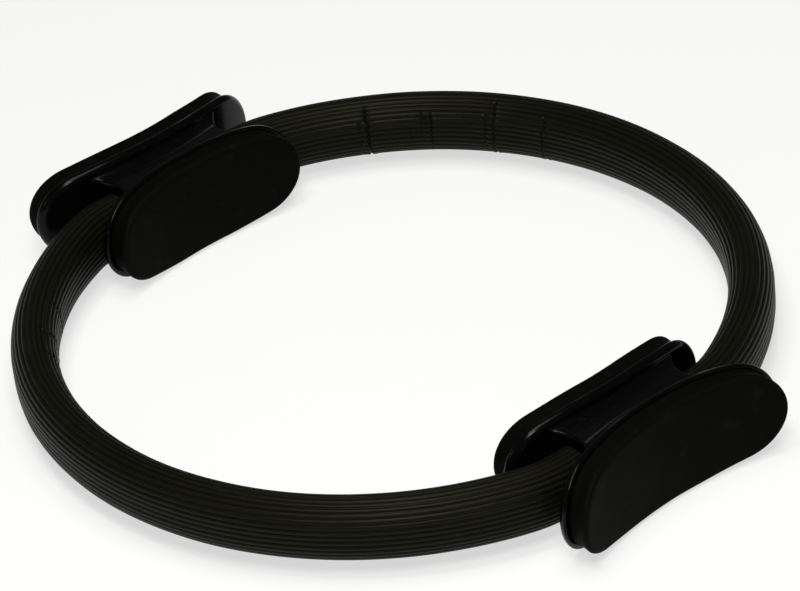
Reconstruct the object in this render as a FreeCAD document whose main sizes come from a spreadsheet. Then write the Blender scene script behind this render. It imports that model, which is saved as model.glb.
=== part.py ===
import FreeCAD, Part
import math
import os
import Sketcher

os.makedirs("parts", exist_ok=True)
doc = FreeCAD.newDocument("PilatesRing")
sheet = doc.addObject("Spreadsheet::Sheet", "Sizes")
vec = FreeCAD.Vector

# Driving sizes in millimetres. The ring lies flat, its handles on the Y axis.
sizes = {
    # spring hoop and its foam sleeve
    "ring_radius": 178.0,
    "band_thickness": 3.0,
    "band_height": 18.0,
    "band_end_gap": 2.0,
    "band_bend_radius": 60.0,
    "sleeve_width": 23.0,
    "sleeve_height": 33.0,
    "sleeve_side_flat": 7.0,
    "sleeve_end": 36.6,
    "sleeve_bore_clearance": 0.3,
    "rib_pitch": 2.8,
    "rib_depth": 0.7,
    # splice inside each handle
    "splice_length": 54.0,
    "splice_thickness": 2.0,
    "splice_height": 14.0,
    "rivet_shank": 4.0,
    "rivet_clearance": 0.1,
    "rivet_head": 7.0,
    "rivet_head_height": 1.4,
    "rivet_first": 9.0,
    "rivet_second": 20.0,
    # handle shells, the chord that they sit on a drop inside the round of the ring and a little above its middle
    "handle_drop": 8.0,
    "handle_rise": 2.0,
    "throat_width": 18.0,
    "flange_thickness": 5.0,
    "outer_bend": 182.0,
    "inner_bend": 226.0,
    "outer_length": 140.0,
    "inner_length": 125.0,
    "flange_height": 54.0,
    "flange_end_radius": 24.6,
    "flange_flat": 24.0,
    "web_height": 39.0,
    "web_wall": 2.6,
    "valley_radius": 7.0,
    "mouth_radius": 16.5,
    "mouth_setback": 35.5,
    # clamp ribs and screw bosses inside the shells
    "clamp_place": 29.0,
    "clamp_thickness": 3.0,
    "clamp_height": 16.0,
    "boss_diameter": 6.8,
    "screw_across": 40.0,
    "screw_apart": 29.4,
    # screws
    "screw_diameter": 2.6,
    "screw_clearance": 0.1,
    "screw_head": 4.6,
    "screw_head_height": 2.0,
    "screw_head_room": 0.4,
    "screw_seat": 9.5,
    "screw_length": 17.5,
    "screw_slot_width": 0.8,
    "screw_slot_depth": 1.0,
    "pilot_spare": 1.5,
    # foam pads
    "pad_inset": 0.9,
    "pad_end_inset": 2.0,
    "pad_thickness": 11.3,
    "pad_crown": 1.0,
    "pad_edge_radius": 2.8,
    "glue_gap": 0.3,
    # how far every cut runs past the face it opens
    "cut_overrun": 5.0,
}

# Sizes and places that follow from the driving ones
derived = {
    "half_top": "=flange_height / 2",
    "ring_height": "=half_top - handle_rise",
    "cut_top": "=half_top + cut_overrun",
    "half_flat": "=flange_flat / 2",
    "handle_radius": "=ring_radius - handle_drop",
    # spring band: straight inside the handles, a tighter bend at each mouth, then the round of the ring
    "band_half": "=band_thickness / 2",
    "band_half_height": "=band_height / 2",
    "band_end": "=band_end_gap / 2",
    "band_inner": "=ring_radius - band_half",
    "band_outer": "=ring_radius + band_half",
    "straight_inner": "=handle_radius - band_half",
    "straight_outer": "=handle_radius + band_half",
    "bend_inner": "=band_bend_radius - band_half",
    "bend_outer": "=band_bend_radius + band_half",
    "bend_x": "=sqrt((ring_radius - band_bend_radius) ^ 2 - (handle_radius - band_bend_radius) ^ 2)",
    "bend_y": "=handle_radius - band_bend_radius",
    "inner_join_x": "=bend_x * band_inner / (ring_radius - band_bend_radius)",
    "inner_join_y": "=bend_y * band_inner / (ring_radius - band_bend_radius)",
    "outer_join_x": "=bend_x * band_outer / (ring_radius - band_bend_radius)",
    "outer_join_y": "=bend_y * band_outer / (ring_radius - band_bend_radius)",
    "rivet_hole_radius": "=(rivet_shank + rivet_clearance) / 2",
    "rivet_length": "=band_thickness + splice_thickness",
    "splice_inner": "=straight_inner - splice_thickness",
    # handle shells, outside and inside the ring
    "throat_out": "=handle_radius + throat_width / 2",
    "throat_in": "=handle_radius - throat_width / 2",
    "face_out": "=throat_out + flange_thickness",
    "face_in": "=throat_in - flange_thickness",
    "axis_out": "=face_out + outer_bend",
    "axis_in": "=face_in - inner_bend",
    "half_length_out": "=outer_length / 2",
    "half_length_in": "=inner_length / 2",
    "far_out": "=axis_out - sqrt(half_length_out ^ 2 + (axis_out - handle_radius) ^ 2) - cut_overrun",
    "far_in": "=axis_in + sqrt(half_length_in ^ 2 + (axis_in - handle_radius) ^ 2) + cut_overrun",
    "reach_out": "=axis_out - sqrt(outer_bend ^ 2 - half_length_out ^ 2) + cut_overrun",
    "reach_in": "=axis_in + sqrt(inner_bend ^ 2 - half_length_in ^ 2) - cut_overrun",
    "block_out": "=reach_out - handle_radius",
    "block_in": "=handle_radius - reach_in",
    "plate_sweep_out": "=2 * asin((half_length_out + cut_overrun) / outer_bend)",
    "plate_sweep_in": "=2 * asin((half_length_in + cut_overrun) / inner_bend)",
    "end_centre_out": "=half_length_out - flange_end_radius",
    "end_centre_in": "=half_length_in - flange_end_radius",
    "shoulder_out":
        "=((end_centre_out - half_flat) ^ 2 + half_top ^ 2 - flange_end_radius ^ 2)"
        " / (2 * (half_top - flange_end_radius))",
    "shoulder_in":
        "=((end_centre_in - half_flat) ^ 2 + half_top ^ 2 - flange_end_radius ^ 2)"
        " / (2 * (half_top - flange_end_radius))",
    "shoulder_x_out":
        "=half_flat + shoulder_out * (end_centre_out - half_flat) / (shoulder_out - flange_end_radius)",
    "shoulder_x_in":
        "=half_flat + shoulder_in * (end_centre_in - half_flat) / (shoulder_in - flange_end_radius)",
    "shoulder_z_out":
        "=half_top - shoulder_out + shoulder_out * (shoulder_out - half_top) / (shoulder_out - flange_end_radius)",
    "shoulder_z_in":
        "=half_top - shoulder_in + shoulder_in * (shoulder_in - half_top) / (shoulder_in - flange_end_radius)",
    "frame_x": "=outer_length / 2 + 3 * cut_overrun",
    "roof": "=web_height / 2",
    "ceiling": "=web_height / 2 - web_wall",
    "valley_rise": "=roof + valley_radius",
    "valley_out": "=throat_out - valley_radius",
    "valley_in": "=throat_in + valley_radius",
    "mouth_middle": "=mouth_setback + mouth_radius",
    "mouth_out": "=handle_radius + mouth_radius",
    "mouth_in": "=handle_radius - mouth_radius",
    "screw_x": "=screw_across / 2",
    "screw_z": "=screw_apart / 2",
    "boss_radius": "=boss_diameter / 2",
    "boss_length_out": "=throat_width / 2 + screw_x ^ 2 / (2 * outer_bend) + flange_thickness / 3",
    "boss_length_in": "=throat_width / 2 + screw_x ^ 2 / (2 * inner_bend) + flange_thickness / 3",
    "hole_radius": "=(screw_diameter + screw_clearance) / 2",
    "head_hole_radius": "=(screw_head + screw_head_room) / 2",
    "head_seat": "=handle_radius + screw_seat",
    "pilot_depth": "=screw_length - screw_seat + pilot_spare",
    "clamp_near": "=clamp_place - clamp_thickness / 2",
    "clamp_away": "=clamp_place + clamp_thickness / 2",
    "clamp_out": "=throat_out + clamp_place ^ 2 / (2 * outer_bend) + flange_thickness / 3",
    "clamp_in": "=throat_in - clamp_place ^ 2 / (2 * inner_bend) - flange_thickness / 3",
    # pads, their outline a step inside the flange's and drawn in further at the ends
    "pad_top": "=half_top - pad_inset",
    "pad_end_radius": "=flange_end_radius - pad_inset",
    "pad_half_length_out": "=half_length_out - pad_inset - pad_end_inset",
    "pad_half_length_in": "=half_length_in - pad_inset - pad_end_inset",
    "pad_centre_out": "=end_centre_out - pad_end_inset",
    "pad_centre_in": "=end_centre_in - pad_end_inset",
    "pad_shoulder_out":
        "=((pad_centre_out - half_flat) ^ 2 + pad_top ^ 2 - pad_end_radius ^ 2) / (2 * (pad_top - pad_end_radius))",
    "pad_shoulder_in":
        "=((pad_centre_in - half_flat) ^ 2 + pad_top ^ 2 - pad_end_radius ^ 2) / (2 * (pad_top - pad_end_radius))",
    "pad_shoulder_x_out":
        "=half_flat + pad_shoulder_out * (pad_centre_out - half_flat) / (pad_shoulder_out - pad_end_radius)",
    "pad_shoulder_x_in":
        "=half_flat + pad_shoulder_in * (pad_centre_in - half_flat) / (pad_shoulder_in - pad_end_radius)",
    "pad_shoulder_z_out":
        "=pad_top - pad_shoulder_out"
        " + pad_shoulder_out * (pad_shoulder_out - pad_top) / (pad_shoulder_out - pad_end_radius)",
    "pad_shoulder_z_in":
        "=pad_top - pad_shoulder_in"
        " + pad_shoulder_in * (pad_shoulder_in - pad_top) / (pad_shoulder_in - pad_end_radius)",
    "pad_base_out": "=face_out + glue_gap",
    "pad_base_in": "=face_in - glue_gap",
    "pad_face_out": "=face_out + pad_thickness",
    "pad_face_in": "=face_in - pad_thickness",
    "pad_brow_out": "=pad_face_out - pad_crown",
    "pad_brow_in": "=pad_face_in + pad_crown",
    "crown_radius": "=(cut_top ^ 2 + pad_crown ^ 2) / (2 * pad_crown)",
    "pad_block_out": "=block_out + pad_thickness",
    "pad_block_in": "=block_in + pad_thickness",
}

row = 0
for name, value in list(sizes.items()) + list(derived.items()):
    row += 1
    sheet.set("A%d" % row, name)
    sheet.set("B%d" % row, str(value))
    sheet.setAlias("B%d" % row, name)
doc.recompute()


def size(name):
    return float(sheet.get(name))


def cell(name):
    return "Sizes." + name


def plane(body, role):
    return [item for item in body.Origin.OriginFeatures if item.Role == role][0]


def new_sketch(body, name, role, offset=None):
    # offset names the distance of the sketch from the plane, towards +Y for the XZ plane
    sketch = body.newObject("Sketcher::SketchObject", name)
    sketch.AttachmentSupport = [(plane(body, role), "")]
    sketch.MapMode = "FlatFace"
    if offset:
        sketch.setExpression("AttachmentOffset.Base.z", "-" + cell(offset))
    return sketch


def signed(name):
    # "-roof" is the size "roof" on the negative side, "0" lies on the axis
    if name == "0":
        return 0.0
    if name[0] == "-":
        return -size(name[1:])
    return size(name)


def pin(sketch, geo, pos, xname, yname):
    # ties one point to named distances from the origin, on whichever side it lies
    for kind, name, axis in (("DistanceX", xname, -2), ("DistanceY", yname, -1)):
        value = signed(name)
        bare = name.lstrip("-")
        if name == "0":
            sketch.addConstraint(Sketcher.Constraint("PointOnObject", geo, pos, axis))
            continue
        if value < 0:
            index = sketch.addConstraint(Sketcher.Constraint(kind, geo, pos, -1, 1, -value))
        else:
            index = sketch.addConstraint(Sketcher.Constraint(kind, -1, 1, geo, pos, value))
        turned = (value < 0) != (name[0] == "-")
        sketch.setExpression("Constraints[%d]" % index, ("-" if turned else "") + cell(bare))


def loop(sketch, corners):
    # a closed outline; each corner is (x, y) or (x, y, radius, turn) where the arc that follows it turns
    # left (+1) or right (-1)
    ends = []
    count = len(corners)
    for i, corner in enumerate(corners):
        following = corners[(i + 1) % count]
        start = vec(signed(corner[0]), signed(corner[1]), 0)
        stop = vec(signed(following[0]), signed(following[1]), 0)
        if len(corner) == 2:
            geo = sketch.addGeometry(Part.LineSegment(start, stop), False)
            ends.append((geo, 1, 2))
            continue
        radius = size(corner[2])
        chord = stop - start
        half = chord.Length / 2
        left = vec(-chord.y, chord.x, 0).normalize()
        centre = (start + stop) * 0.5 + left * (corner[3] * math.sqrt(max(radius ** 2 - half ** 2, 0)))
        circle = Part.Circle(centre, vec(0, 0, 1), radius)
        first = math.atan2(start.y - centre.y, start.x - centre.x)
        last = math.atan2(stop.y - centre.y, stop.x - centre.x)
        if corner[3] > 0:
            geo = sketch.addGeometry(Part.ArcOfCircle(circle, first, last), False)
            ends.append((geo, 1, 2))
        else:
            geo = sketch.addGeometry(Part.ArcOfCircle(circle, last, first), False)
            ends.append((geo, 2, 1))
        index = sketch.addConstraint(Sketcher.Constraint("Radius", geo, radius))
        sketch.setExpression("Constraints[%d]" % index, cell(corner[2]))
    for i, corner in enumerate(corners):
        geo, start, stop = ends[i]
        following = ends[(i + 1) % count]
        sketch.addConstraint(Sketcher.Constraint("Coincident", geo, stop, following[0], following[1]))
        pin(sketch, geo, start, corner[0], corner[1])


def circles(sketch, places, radius):
    for xname, yname in places:
        centre = vec(signed(xname), signed(yname), 0)
        geo = sketch.addGeometry(Part.Circle(centre, vec(0, 0, 1), size(radius)), False)
        index = sketch.addConstraint(Sketcher.Constraint("Radius", geo, size(radius)))
        sketch.setExpression("Constraints[%d]" % index, cell(radius))
        pin(sketch, geo, 3, xname, yname)


def oval(sketch, flat, top, shoulder, shoulder_x, shoulder_z, end, end_x):
    # straight runs above and below, long shoulder arcs and round ends
    loop(sketch, [
        (flat, top),
        ("-" + flat, top, shoulder, 1),
        ("-" + shoulder_x, shoulder_z, end, 1),
        ("-" + end_x, "0", end, 1),
        ("-" + shoulder_x, "-" + shoulder_z, shoulder, 1),
        ("-" + flat, "-" + top),
        (flat, "-" + top, shoulder, 1),
        (shoulder_x, "-" + shoulder_z, end, 1),
        (end_x, "0", end, 1),
        (shoulder_x, shoulder_z, shoulder, 1),
    ])


def axis_line(sketch, yname):
    # the upright line that the flange is bent about
    line = Part.LineSegment(vec(size(yname), -size("cut_top"), 0), vec(size(yname), size("cut_top"), 0))
    geo = sketch.addGeometry(line, True)
    pin(sketch, geo, 1, yname, "-cut_top")
    pin(sketch, geo, 2, yname, "cut_top")


def groove(body, sketch, name, axis="Axis0"):
    before = body.Tip.Shape.Volume
    cut = body.newObject("PartDesign::Groove", name)
    cut.Profile = sketch
    cut.ReferenceAxis = (sketch, [axis])
    cut.Angle = 360
    doc.recompute()
    if cut.Shape.Volume >= before:
        raise RuntimeError(name + " cut nothing")
    return cut


def pocket(body, sketch, name, length=None, both=False, back=False):
    before = body.Tip.Shape.Volume
    cut = body.newObject("PartDesign::Pocket", name)
    cut.Profile = sketch
    if length:
        cut.setExpression("Length", cell(length))
    else:
        cut.Type = "ThroughAll"
    if both:
        cut.SideType = "Symmetric"
    cut.Reversed = back
    doc.recompute()
    if cut.Shape.Volume >= before:
        raise RuntimeError(name + " cut nothing")
    return cut


def pad(body, sketch, name, length, both=False, back=False):
    add = body.newObject("PartDesign::Pad", name)
    add.Profile = sketch
    add.setExpression("Length", cell(length))
    if both:
        add.SideType = "Symmetric"
    add.Reversed = back
    doc.recompute()
    return add


def fillet(body, base, edges, name, radius):
    names = []
    for i, edge in enumerate(base.Shape.Edges):
        if any(edge.isSame(other) for other in edges):
            names.append("Edge%d" % (i + 1))
    smooth = body.newObject("PartDesign::Fillet", name)
    smooth.Base = (base, names)
    smooth.setExpression("Radius", cell(radius))
    doc.recompute()
    return smooth


def handle_place(end, height):
    turn = 0 if end == "far" else 180
    return FreeCAD.Placement(vec(0, 0, size(height)), FreeCAD.Rotation(vec(0, 0, 1), turn))


def make_shell(end, outer):
    # one moulded half of a handle: bent oval flange, roof and floor webs, screw bosses and clamp ribs
    label = end + ("_outer_shell" if outer else "_inner_shell")
    tail = "_out" if outer else "_in"
    body = doc.addObject("PartDesign::Body", "Body_" + label)
    body.Label = label

    # the middle block in plan, its ends hollowed round where the sleeved hoop runs in
    turn = 1 if outer else -1
    plan = new_sketch(body, "Plan", "XY_Plane")
    loop(plan, [("-mouth_setback", "handle_radius"),
                ("mouth_setback", "handle_radius", "mouth_radius", -turn),
                ("mouth_middle", "mouth" + tail), ("mouth_middle", "reach" + tail),
                ("-mouth_middle", "reach" + tail),
                ("-mouth_middle", "mouth" + tail, "mouth_radius", -turn)])
    pad(body, plan, "Block", "flange_height", both=True)
    face = new_sketch(body, "PadFace", "YZ_Plane")
    axis_line(face, "axis" + tail)
    loop(face, [("axis" + tail, "-cut_top"), ("face" + tail, "-cut_top"),
                ("face" + tail, "cut_top"), ("axis" + tail, "cut_top")])
    groove(body, face, "PadFaceCut")

    # the channels above and below the webs, rounded where they meet the flange
    valley = new_sketch(body, "Valley", "YZ_Plane")
    axis_line(valley, "axis" + tail)
    loop(valley, [("throat" + tail, "cut_top"), ("throat" + tail, "valley_rise", "valley_radius", -turn),
                  ("valley" + tail, "roof"), ("far" + tail, "roof"), ("far" + tail, "cut_top")])
    loop(valley, [("throat" + tail, "-cut_top"), ("throat" + tail, "-valley_rise", "valley_radius", turn),
                  ("valley" + tail, "-roof"), ("far" + tail, "-roof"), ("far" + tail, "-cut_top")])
    groove(body, valley, "ValleyCut")
    hollow = new_sketch(body, "Hollow", "YZ_Plane")
    axis_line(hollow, "axis" + tail)
    loop(hollow, [("throat" + tail, "-ceiling"), ("far" + tail, "-ceiling"),
                  ("far" + tail, "ceiling"), ("throat" + tail, "ceiling")])
    groove(body, hollow, "HollowCut")

    # the bent flange, trimmed to its oval outline
    plate = new_sketch(body, "Plate", "YZ_Plane")
    axis_line(plate, "axis" + tail)
    loop(plate, [("throat" + tail, "-half_top"), ("face" + tail, "-half_top"),
                 ("face" + tail, "half_top"), ("throat" + tail, "half_top")])
    flange = body.newObject("PartDesign::Revolution", "Flange")
    flange.Profile = plate
    flange.ReferenceAxis = (plate, ["Axis0"])
    flange.setExpression("Angle", cell("plate_sweep" + tail))
    flange.Midplane = True
    doc.recompute()
    frame = new_sketch(body, "Frame", "XZ_Plane", "handle_radius")
    loop(frame, [("frame_x", "cut_top"), ("-frame_x", "cut_top"), ("-frame_x", "-cut_top"),
                 ("frame_x", "-cut_top")])
    oval(frame, "half_flat", "half_top", "shoulder" + tail, "shoulder_x" + tail, "shoulder_z" + tail,
         "flange_end_radius", "half_length" + tail)
    pocket(body, frame, "OutlineCut", back=not outer)

    # clamp ribs that meet the spring band
    rib = new_sketch(body, "ClampRibs", "XY_Plane")
    seat = "straight_outer" if outer else "straight_inner"
    for side in ("", "-"):
        loop(rib, [(side + "clamp_near", seat), (side + "clamp_away", seat),
                   (side + "clamp_away", "clamp" + tail), (side + "clamp_near", "clamp" + tail)])
    pad(body, rib, "ClampRibPad", "clamp_height", both=True)

    places = [("screw_x", "screw_z"), ("-screw_x", "screw_z"), ("screw_x", "-screw_z"), ("-screw_x", "-screw_z")]
    boss = new_sketch(body, "Bosses", "XZ_Plane", "handle_radius")
    circles(boss, places, "boss_radius")
    pad(body, boss, "BossPad", "boss_length" + tail, back=outer)
    hole = new_sketch(body, "ScrewHoles", "XZ_Plane", "handle_radius")
    circles(hole, places, "hole_radius")
    if outer:
        pocket(body, hole, "ScrewHoleCut")
        sink = new_sketch(body, "HeadSeats", "XZ_Plane", "head_seat")
        circles(sink, places, "head_hole_radius")
        pocket(body, sink, "HeadSeatCut")
    else:
        pocket(body, hole, "PilotCut", "pilot_depth", back=True)
    body.Placement = handle_place(end, "half_top")
    return body


def make_pad(end, outer):
    # a foam pad on the bent flange, with a crowned face and a rounded brow
    label = end + ("_outer_pad" if outer else "_inner_pad")
    tail = "_out" if outer else "_in"
    body = doc.addObject("PartDesign::Body", "Body_" + label)
    body.Label = label
    outline = new_sketch(body, "Outline", "XZ_Plane", "handle_radius")
    oval(outline, "half_flat", "pad_top", "pad_shoulder" + tail, "pad_shoulder_x" + tail, "pad_shoulder_z" + tail,
         "pad_end_radius", "pad_half_length" + tail)
    pad(body, outline, "Block", "pad_block" + tail, back=outer)
    base = new_sketch(body, "Base", "YZ_Plane")
    axis_line(base, "axis" + tail)
    loop(base, [("pad_base" + tail, "-cut_top"), ("far" + tail, "-cut_top"), ("far" + tail, "cut_top"),
                ("pad_base" + tail, "cut_top")])
    groove(body, base, "BaseCut")
    face = new_sketch(body, "Face", "YZ_Plane")
    axis_line(face, "axis" + tail)
    turn = 1 if outer else -1
    loop(face, [("axis" + tail, "-cut_top"), ("pad_brow" + tail, "-cut_top", "crown_radius", turn),
                ("pad_face" + tail, "0", "crown_radius", turn), ("pad_brow" + tail, "cut_top"),
                ("axis" + tail, "cut_top")])
    crown = groove(body, face, "FaceCut")
    brow = [edge for item in crown.Shape.Faces if isinstance(item.Surface, Part.Toroid) for edge in item.Edges]
    brow = [edge for edge in brow if sum(edge.isSame(other) for other in brow) == 1]
    fillet(body, crown, brow, "BrowRound", "pad_edge_radius")
    body.Placement = handle_place(end, "half_top")
    return body


def cylinder(name, radius, height, place):
    # radius and height are written in the named sizes
    item = doc.addObject("Part::Cylinder", name)
    item.setExpression("Radius", radius)
    item.setExpression("Height", height)
    item.Placement = place
    return item


def make_band(label, turn):
    # half a spring hoop, modelled towards +X: straight ends in the handles, bends at the mouths, round between
    body = doc.addObject("PartDesign::Body", "Body_" + label)
    body.Label = label
    path = new_sketch(body, "Path", "XY_Plane")
    loop(path, [
        ("band_end", "-straight_outer"),
        ("bend_x", "-straight_outer", "bend_outer", 1),
        ("outer_join_x", "-outer_join_y", "band_outer", 1),
        ("outer_join_x", "outer_join_y", "bend_outer", 1),
        ("bend_x", "straight_outer"),
        ("band_end", "straight_outer"),
        ("band_end", "straight_inner"),
        ("bend_x", "straight_inner", "bend_inner", -1),
        ("inner_join_x", "inner_join_y", "band_inner", -1),
        ("inner_join_x", "-inner_join_y", "bend_inner", -1),
        ("bend_x", "-straight_inner"),
        ("band_end", "-straight_inner"),
    ])
    pad(body, path, "Strip", "band_height", both=True)
    drill = new_sketch(body, "RivetHoles", "XZ_Plane")
    circles(drill, [("rivet_first", "0"), ("rivet_second", "0")], "rivet_hole_radius")
    pocket(body, drill, "RivetHoleCut", both=True)
    body.Placement = FreeCAD.Placement(vec(0, 0, size("ring_height")), FreeCAD.Rotation(vec(0, 0, 1), turn))
    return body


def rivet_places():
    return [side * size(name) for name in ("rivet_first", "rivet_second") for side in (-1, 1)]


def make_splice(end):
    # a flat plate across the two band ends, on their inner side
    label = end + "_splice_plate"
    plate = doc.addObject("Part::Box", "Blank_" + label)
    plate.setExpression("Length", cell("splice_length"))
    plate.setExpression("Width", cell("splice_thickness"))
    plate.setExpression("Height", cell("splice_height"))
    plate.Placement.Base = vec(-size("splice_length") / 2, size("splice_inner"), -size("splice_height") / 2)
    drills = []
    for x in rivet_places():
        place = FreeCAD.Placement(vec(x, size("throat_in"), 0), FreeCAD.Rotation(vec(0, 0, 1), vec(0, 1, 0)))
        drills.append(cylinder("Drill", cell("rivet_hole_radius"), cell("throat_width"), place))
    tool = doc.addObject("Part::MultiFuse", "Drills_" + label)
    tool.Shapes = drills
    result = doc.addObject("Part::Cut", "Drilled_" + label)
    result.Base = plate
    result.Tool = tool
    result.Label = label
    result.Placement = handle_place(end, "ring_height")
    return result


def make_rivets(end):
    # shank through plate and band, a low head on each side
    label = end + "_splice_rivets"
    rivets = []
    outward = FreeCAD.Rotation(vec(0, 0, 1), vec(0, 1, 0))
    inward = FreeCAD.Rotation(vec(0, 0, 1), vec(0, -1, 0))
    for x in rivet_places():
        inner_seat = vec(x, size("splice_inner"), 0)
        outer_seat = vec(x, size("straight_outer"), 0)
        shank = cylinder("Shank", cell("rivet_shank") + " / 2", cell("rivet_length"),
                         FreeCAD.Placement(inner_seat, outward))
        pieces = [shank]
        for seat, way in ((outer_seat, outward), (inner_seat, inward)):
            head = doc.addObject("Part::Cone", "Head")
            head.setExpression("Radius1", cell("rivet_head") + " / 2")
            head.setExpression("Radius2", cell("rivet_shank") + " / 2")
            head.setExpression("Height", cell("rivet_head_height"))
            head.Placement = FreeCAD.Placement(seat, way)
            pieces.append(head)
        rivet = doc.addObject("Part::MultiFuse", "Rivet")
        rivet.Shapes = pieces
        rivets.append(rivet)
    group = doc.addObject("Part::Compound", "Group_" + label)
    group.Links = rivets
    group.Label = label
    group.Placement = handle_place(end, "ring_height")
    return group


def make_screws(end):
    label = end + "_shell_screws"
    screws = []
    along = FreeCAD.Rotation(vec(0, 0, 1), vec(0, 1, 0))
    for x in (-size("screw_x"), size("screw_x")):
        for z in (-size("screw_z"), size("screw_z")):
            seat = vec(x, size("head_seat"), z)
            foot = seat - vec(0, size("screw_length"), 0)
            shank = cylinder("Thread", cell("screw_diameter") + " / 2", cell("screw_length"),
                             FreeCAD.Placement(foot, along))
            head = cylinder("ScrewHead", cell("screw_head") + " / 2", cell("screw_head_height"),
                            FreeCAD.Placement(seat, along))
            whole = doc.addObject("Part::Fuse", "Screw")
            whole.Base = shank
            whole.Tool = head
            slot = doc.addObject("Part::Box", "Slot")
            slot.setExpression("Length", cell("screw_head"))
            slot.setExpression("Width", cell("screw_head_height"))
            slot.setExpression("Height", cell("screw_slot_width"))
            rise = size("screw_head_height") - size("screw_slot_depth")
            slot.Placement.Base = seat + vec(-size("screw_head") / 2, rise, -size("screw_slot_width") / 2)
            cut = doc.addObject("Part::Cut", "SlottedScrew")
            cut.Base = whole
            cut.Tool = slot
            screws.append(cut)
    group = doc.addObject("Part::Compound", "Group_" + label)
    group.Links = screws
    group.Label = label
    group.Placement = handle_place(end, "half_top")
    return group


def make_sleeve(label, turn):
    # a foam tube of rounded oblong section with fine ribs along it and a slot for the spring band
    across = size("sleeve_width") / 2
    flat = size("sleeve_side_flat")
    upright = (size("sleeve_height") - flat) / 2
    depth = size("rib_depth")
    steps = 3600
    lengths = [0.0]
    for i in range(steps):
        angle = math.pi * (i + 0.5) / steps
        lengths.append(lengths[-1] + math.hypot(across * math.sin(angle), upright * math.cos(angle)) * math.pi / steps)
    half_girth = flat + lengths[-1]
    ribs = 2 * round(half_girth / size("rib_pitch"))

    def surface(share, sink):
        # from the middle of one flat side over the top, and the same again turned half round
        turns = 2 * (share % 1.0)
        side = 1 if turns < 1 else -1
        run = half_girth * (turns % 1.0) - flat / 2
        target = max(0.0, min(lengths[-1], run))
        low = 0
        high = steps
        while high - low > 1:
            middle = (low + high) // 2
            if lengths[middle] <= target:
                low = middle
            else:
                high = middle
        angle = math.pi * (low + (target - lengths[low]) / (lengths[high] - lengths[low])) / steps
        normal = vec(math.cos(angle) / across, 0, math.sin(angle) / upright).normalize()
        point = vec(across * math.cos(angle), 0, flat / 2 + upright * math.sin(angle) - abs(run - target))
        return vec(size("ring_radius"), 0, 0) + (point - normal * sink) * side

    grooves = [surface(i / ribs, depth) for i in range(ribs)]
    crests = [surface((i + 0.5) / ribs, 0) for i in range(ribs)]
    arcs = [Part.Arc(grooves[i], crests[i], grooves[(i + 1) % ribs]).toShape() for i in range(ribs)]
    skin = Part.Wire(arcs)
    room = size("sleeve_bore_clearance")
    low = vec(size("band_inner") - room, 0, -size("band_half_height") - room)
    high = vec(size("band_outer") + room, 0, size("band_half_height") + room)
    slot = Part.makePolygon([low, vec(high.x, 0, low.z), high, vec(low.x, 0, high.z), low])
    section = Part.Face(skin).cut(Part.Face(slot)).Faces[0]

    # the round of the ring, then the tighter bend into each mouth and the straight end that is tucked in there
    up = vec(0, 0, 1)
    join = 90 - math.degrees(math.atan2(size("bend_x"), size("bend_y")))
    start = section.copy()
    start.rotate(vec(), up, -join)
    tube = start.revolve(vec(), up, 2 * join)
    for side in (-1, 1):
        edge = section.copy()
        edge.rotate(vec(), up, side * join)
        centre = vec(size("bend_x"), side * size("bend_y"), 0)
        tube = tube.fuse(edge.revolve(centre, up, side * (90 - join)))
        stub = section.copy()
        stub.translate(vec(size("handle_radius") - size("ring_radius"), 0, 0))
        stub.rotate(vec(), up, side * 90)
        stub.translate(vec(size("bend_x"), 0, 0))
        tube = tube.fuse(stub.extrude(vec(size("sleeve_end") - size("bend_x"), 0, 0)))
    item = doc.addObject("Part::Feature", "Tube_" + label)
    item.Shape = tube.Solids[0]
    item.Label = label
    item.Placement = FreeCAD.Placement(vec(0, 0, size("ring_height")), FreeCAD.Rotation(up, turn))
    return item


nodes = [make_band("right_spring_band", 0), make_band("left_spring_band", 180)]
nodes += [make_sleeve("right_sleeve", 0), make_sleeve("left_sleeve", 180)]
for end in ("near", "far"):
    nodes.append(make_splice(end))
    nodes.append(make_rivets(end))
    for outer in (True, False):
        nodes.append(make_shell(end, outer))
        nodes.append(make_pad(end, outer))
    nodes.append(make_screws(end))
doc.recompute()

for item in doc.Objects:
    if "Invalid" in item.State or "Error" in item.State:
        raise RuntimeError("failed object " + item.Label)
for node in nodes:
    shape = node.Shape
    if shape.isNull() or not shape.isValid():
        raise RuntimeError("bad shape " + node.Label)
for node in nodes:
    node.Shape.exportStep("parts/" + node.Label + ".step")
    box = node.Shape.optimalBoundingBox()
    print("%-20s %d solids %10.1f mm3  x %.2f %.2f  y %.2f %.2f  z %.2f %.2f" % (
        node.Label, len(node.Shape.Solids), node.Shape.Volume,
        box.XMin, box.XMax, box.YMin, box.YMax, box.ZMin, box.ZMax))
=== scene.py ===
import bisect
import math

import bmesh
import bpy
from mathutils import Matrix, Vector, noise


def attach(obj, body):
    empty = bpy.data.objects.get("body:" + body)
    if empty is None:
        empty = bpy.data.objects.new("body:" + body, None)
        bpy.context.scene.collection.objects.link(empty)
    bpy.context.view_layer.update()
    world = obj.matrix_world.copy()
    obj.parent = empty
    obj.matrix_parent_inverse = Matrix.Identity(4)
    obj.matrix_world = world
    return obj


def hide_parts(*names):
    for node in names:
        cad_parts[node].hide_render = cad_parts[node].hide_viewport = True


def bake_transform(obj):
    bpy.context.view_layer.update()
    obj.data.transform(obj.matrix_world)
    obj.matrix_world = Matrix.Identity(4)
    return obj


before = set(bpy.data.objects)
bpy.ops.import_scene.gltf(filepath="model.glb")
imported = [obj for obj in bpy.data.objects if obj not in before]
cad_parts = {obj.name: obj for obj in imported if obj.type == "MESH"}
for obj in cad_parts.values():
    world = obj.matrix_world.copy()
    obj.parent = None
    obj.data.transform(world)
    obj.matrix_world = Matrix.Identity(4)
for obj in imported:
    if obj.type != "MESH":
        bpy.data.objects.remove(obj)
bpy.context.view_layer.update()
scene = bpy.context.scene
scene.view_settings.view_transform = "Standard"
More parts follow.
